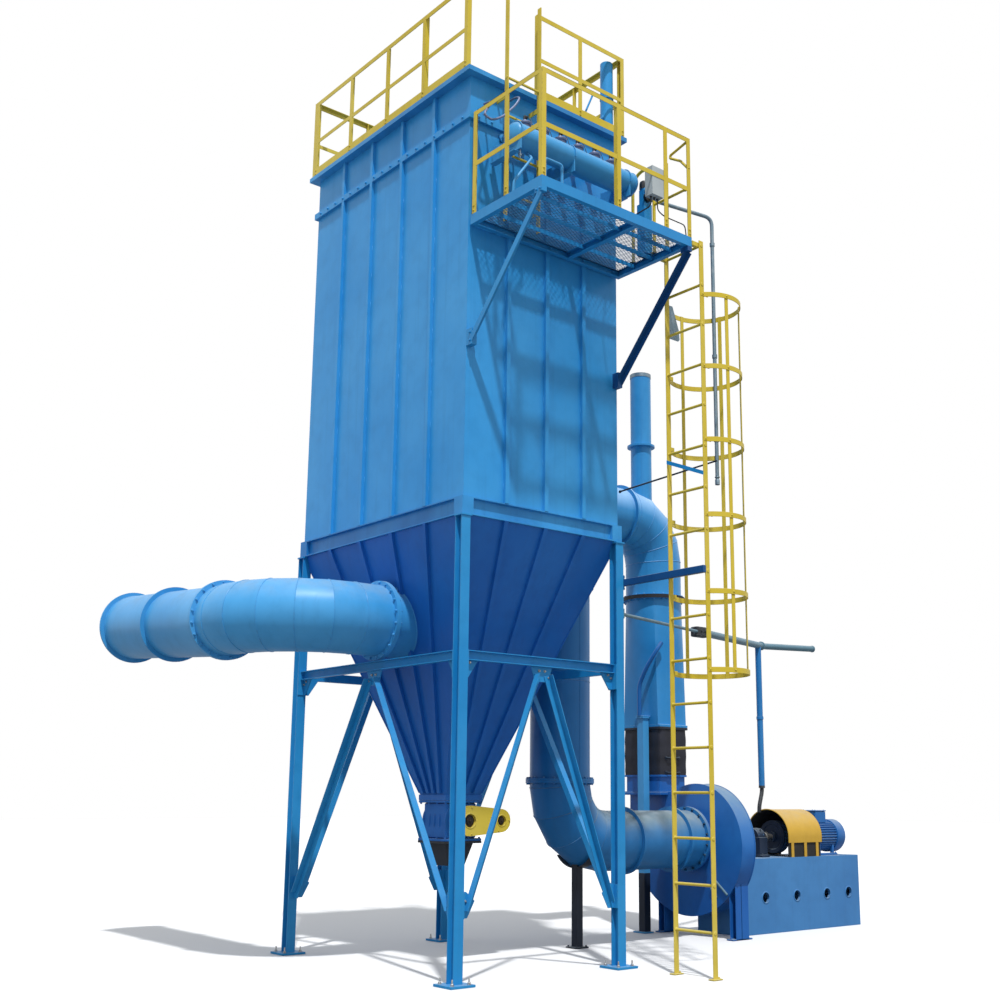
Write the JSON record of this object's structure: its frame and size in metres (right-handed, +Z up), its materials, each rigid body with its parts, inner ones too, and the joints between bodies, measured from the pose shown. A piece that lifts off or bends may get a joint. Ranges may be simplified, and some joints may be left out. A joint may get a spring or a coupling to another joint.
{
  "type": "pulse dust collector",
  "caption": "Baghouse dust collector on braced legs with hopper, rotary valve, inlet duct, service platform, caged ladder, pulse air header, suction duct and fan.",
  "frame": {"origin": "on the ground under the front-left corner of the filter housing, the corner where the platform side meets the inlet side", "axes": "+Z up, +X along the platform side towards the fan, +Y along the inlet side towards the back"},
  "size_m": [8.85, 5.877, 9.6063],
  "materials": {
    "housing_paint": "satin light-blue enamel, streaked with dust",
    "hopper_paint": "satin blue enamel",
    "frame_paint": "satin blue enamel on rolled sections",
    "duct_paint": "satin light-blue enamel",
    "fan_paint": "satin light-blue enamel",
    "header_paint": "gloss blue enamel",
    "yellow_paint": "weathered safety-yellow enamel",
    "grating_steel": "dusty painted floor mesh",
    "pipe_steel": "dull grey zinc coat",
    "motor_paint": "blue motor enamel",
    "gear_grey": "light grey enamel",
    "spout_paint": "dark paint",
    "joint_rubber": "black rubber cloth"
  },
  "bodies": {
    "root": {"air_header": "header_paint", "air_pipe": "pipe_steel", "air_stand": "frame_paint", "brace_back_a": "frame_paint", "brace_back_b": "frame_paint", "brace_front_a": "frame_paint", "brace_front_b": "frame_paint", "brace_left_a": "frame_paint", "brace_left_b": "frame_paint", "brace_right_a": "frame_paint", "brace_right_b": "frame_paint", "cable_conduit": "duct_paint", "chain_guard": "yellow_paint", "clean_air_plenum": "housing_paint", "control_box": "gear_grey", "discharge_elbow": "duct_paint", "discharge_post": "frame_paint", "discharge_spout": "spout_paint", "discharge_taper": "duct_paint", "drive_guard": "yellow_paint", "drive_motor": "motor_paint", "fan_casing": "fan_paint", "fan_pedestal": "fan_paint", "filter_housing": "housing_paint", "front_railing": "yellow_paint", "gear_motor": "gear_grey", "hopper": "hopper_paint", "hopper_inlet": "frame_paint", "inlet_elbow": "duct_paint", "inlet_run": "duct_paint", "knee_brace_left": "frame_paint", "knee_brace_right": "frame_paint", "ladder_cage": "yellow_paint", "left_railing": "yellow_paint", "leg_back_left": "frame_paint", "leg_back_right": "frame_paint", "leg_front_left": "frame_paint", "leg_front_right": "frame_paint", "main_ladder": "yellow_paint", "outlet_joint": "joint_rubber", "platform_frame": "frame_paint", "platform_grating": "grating_steel", "plenum_outlet_box": "housing_paint", "right_railing": "yellow_paint", "ring_beam": "housing_paint", "roof_deck": "housing_paint", "roof_ladder": "yellow_paint", "roof_post": "housing_paint", "roof_railing_back": "yellow_paint", "roof_railing_front": "yellow_paint", "roof_railing_left": "yellow_paint", "roof_railing_right": "yellow_paint", "rotary_valve": "hopper_paint", "suction_elbow": "duct_paint", "suction_riser": "duct_paint", "tie_back": "frame_paint", "tie_front": "frame_paint", "tie_left": "frame_paint", "tie_right": "frame_paint"}
  },
  "joints": []
}
